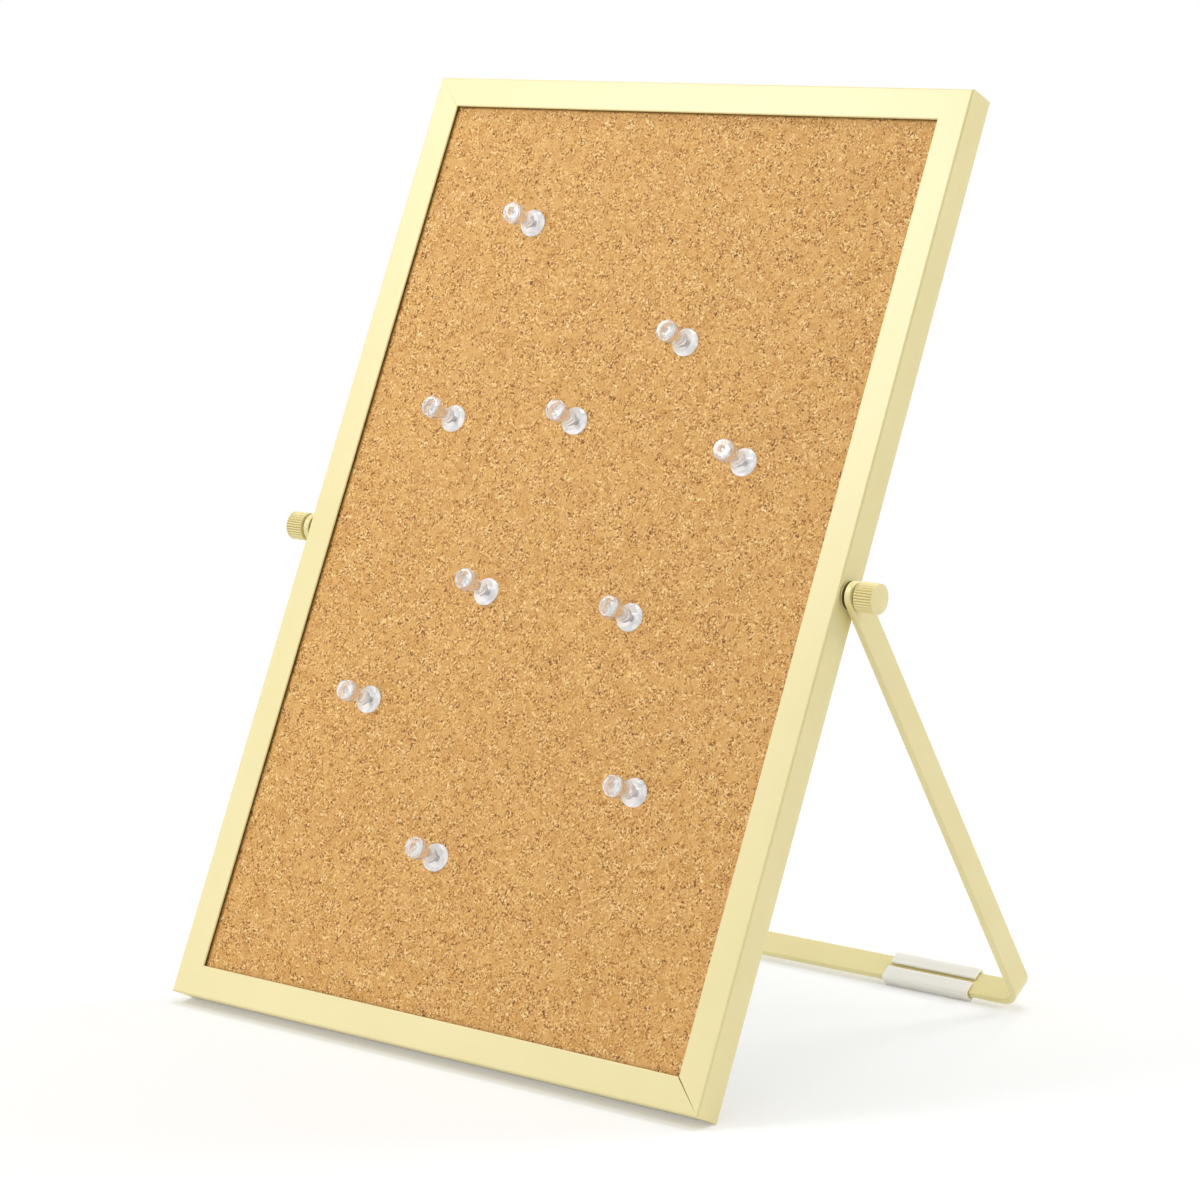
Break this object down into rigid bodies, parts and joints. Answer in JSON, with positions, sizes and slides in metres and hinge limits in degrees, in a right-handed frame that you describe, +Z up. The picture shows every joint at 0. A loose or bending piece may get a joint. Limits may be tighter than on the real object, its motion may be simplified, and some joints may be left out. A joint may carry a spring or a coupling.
{
  "type": "desktop combination board",
  "caption": "Desktop board with a cork face and a dry-erase back in a mitred aluminium frame, tilting between the legs of a bent U stand on knurled thumb screws, with clear push pins.",
  "frame": {"origin": "on the table, at the middle of the footprint of the whole object as it stands", "axes": "+X to the right of a reader who faces the cork, +Y away from that reader, towards the stand, +Z up"},
  "size_m": [0.221, 0.1648, 0.2763],
  "materials": {
    "yellow_paint": "satin",
    "bare_steel": "satin",
    "cork": "matte",
    "core": "matte",
    "white_enamel": "gloss",
    "nylon": "matte",
    "silicone": "satin",
    "clear_plastic": "gloss"
  },
  "bodies": {
    "board": {"frame_rail_left": "yellow_paint", "frame_rail_right": "yellow_paint", "frame_rail_bottom": "yellow_paint", "frame_rail_top": "yellow_paint", "corner_key_bottom_left": "bare_steel", "corner_key_bottom_right": "bare_steel", "corner_key_top_left": "bare_steel", "corner_key_top_right": "bare_steel", "cork_sheet": "cork", "core_board": "core", "dry_erase_sheet": "white_enamel", "frame_nut_left": "bare_steel", "pivot_spacer_left": "nylon", "frame_nut_right": "bare_steel", "pivot_spacer_right": "nylon"},
    "stand": {"stand_bar": "yellow_paint", "silicone_sleeve_left": "silicone", "silicone_sleeve_right": "silicone"},
    "left_washer": {"knob_washer_left": "nylon"},
    "left_thumb_screw": {"thumb_screw_knob_left": "yellow_paint", "thumb_screw_stud_left": "bare_steel"},
    "right_washer": {"knob_washer_right": "nylon"},
    "right_thumb_screw": {"thumb_screw_knob_right": "yellow_paint", "thumb_screw_stud_right": "bare_steel"},
    "push_pin_01": {"push_pin_body_01": "clear_plastic", "push_pin_needle_01": "bare_steel"},
    "push_pin_02": {"push_pin_body_02": "clear_plastic", "push_pin_needle_02": "bare_steel"},
    "push_pin_03": {"push_pin_body_03": "clear_plastic", "push_pin_needle_03": "bare_steel"},
    "push_pin_04": {"push_pin_body_04": "clear_plastic", "push_pin_needle_04": "bare_steel"},
    "push_pin_05": {"push_pin_body_05": "clear_plastic", "push_pin_needle_05": "bare_steel"},
    "push_pin_06": {"push_pin_body_06": "clear_plastic", "push_pin_needle_06": "bare_steel"},
    "push_pin_07": {"push_pin_body_07": "clear_plastic", "push_pin_needle_07": "bare_steel"},
    "push_pin_08": {"push_pin_body_08": "clear_plastic", "push_pin_needle_08": "bare_steel"},
    "push_pin_09": {"push_pin_body_09": "clear_plastic", "push_pin_needle_09": "bare_steel"},
    "push_pin_10": {"push_pin_body_10": "clear_plastic", "push_pin_needle_10": "bare_steel"}
  },
  "joints": [
    {"name": "stand_swing", "type": "hinge", "parent": "board", "child": "stand", "pos_m": [0, -0.01536, 0.13817], "axis": [1, 0, 0], "continuous": true},
    {"name": "left_screw_travel", "type": "slide", "parent": "board", "child": "left_washer", "axis": [-1, 0, 0], "range_m": [0, 0.0021]},
    {"name": "left_screw_turn", "type": "hinge", "parent": "left_washer", "child": "left_thumb_screw", "pos_m": [-0.1045, -0.01536, 0.13817], "axis": [-1, 0, 0], "range_deg": [0, 1080]},
    {"name": "right_screw_travel", "type": "slide", "parent": "board", "child": "right_washer", "axis": [1, 0, 0], "range_m": [0, 0.0021]},
    {"name": "right_screw_turn", "type": "hinge", "parent": "right_washer", "child": "right_thumb_screw", "pos_m": [0.1045, -0.01536, 0.13817], "axis": [1, 0, 0], "range_deg": [0, 1080]},
    {"name": "pin_01_pull", "type": "slide", "parent": "board", "child": "push_pin_01", "axis": [0.0867, -0.9437, 0.3193], "range_m": [0, 0.008]},
    {"name": "pin_02_pull", "type": "slide", "parent": "board", "child": "push_pin_02", "axis": [0.1044, -0.9241, 0.3676], "range_m": [0, 0.008]},
    {"name": "pin_03_pull", "type": "slide", "parent": "board", "child": "push_pin_03", "axis": [0.0349, -0.9151, 0.4016], "range_m": [0, 0.008]},
    {"name": "pin_04_pull", "type": "slide", "parent": "board", "child": "push_pin_04", "axis": [0.1217, -0.9223, 0.3669], "range_m": [0, 0.008]},
    {"name": "pin_05_pull", "type": "slide", "parent": "board", "child": "push_pin_05", "axis": [0.0523, -0.9144, 0.4013], "range_m": [0, 0.008]},
    {"name": "pin_06_pull", "type": "slide", "parent": "board", "child": "push_pin_06", "axis": [0.0349, -0.8929, 0.449], "range_m": [0, 0.008]},
    {"name": "pin_07_pull", "type": "slide", "parent": "board", "child": "push_pin_07", "axis": [0.0697, -0.9135, 0.4009], "range_m": [0, 0.008]},
    {"name": "pin_08_pull", "type": "slide", "parent": "board", "child": "push_pin_08", "axis": [0.0523, -0.9213, 0.3853], "range_m": [0, 0.008]},
    {"name": "pin_09_pull", "type": "slide", "parent": "board", "child": "push_pin_09", "axis": [0.0868, -0.9379, 0.3357], "range_m": [0, 0.008]},
    {"name": "pin_10_pull", "type": "slide", "parent": "board", "child": "push_pin_10", "axis": [0.1045, -0.8962, 0.4312], "range_m": [0, 0.008]}
  ],
  "couplings": [
    {"joint": "left_screw_turn", "follows": "left_screw_travel", "rad_per_m": 8976},
    {"joint": "right_screw_turn", "follows": "right_screw_travel", "rad_per_m": 8976}
  ]
}
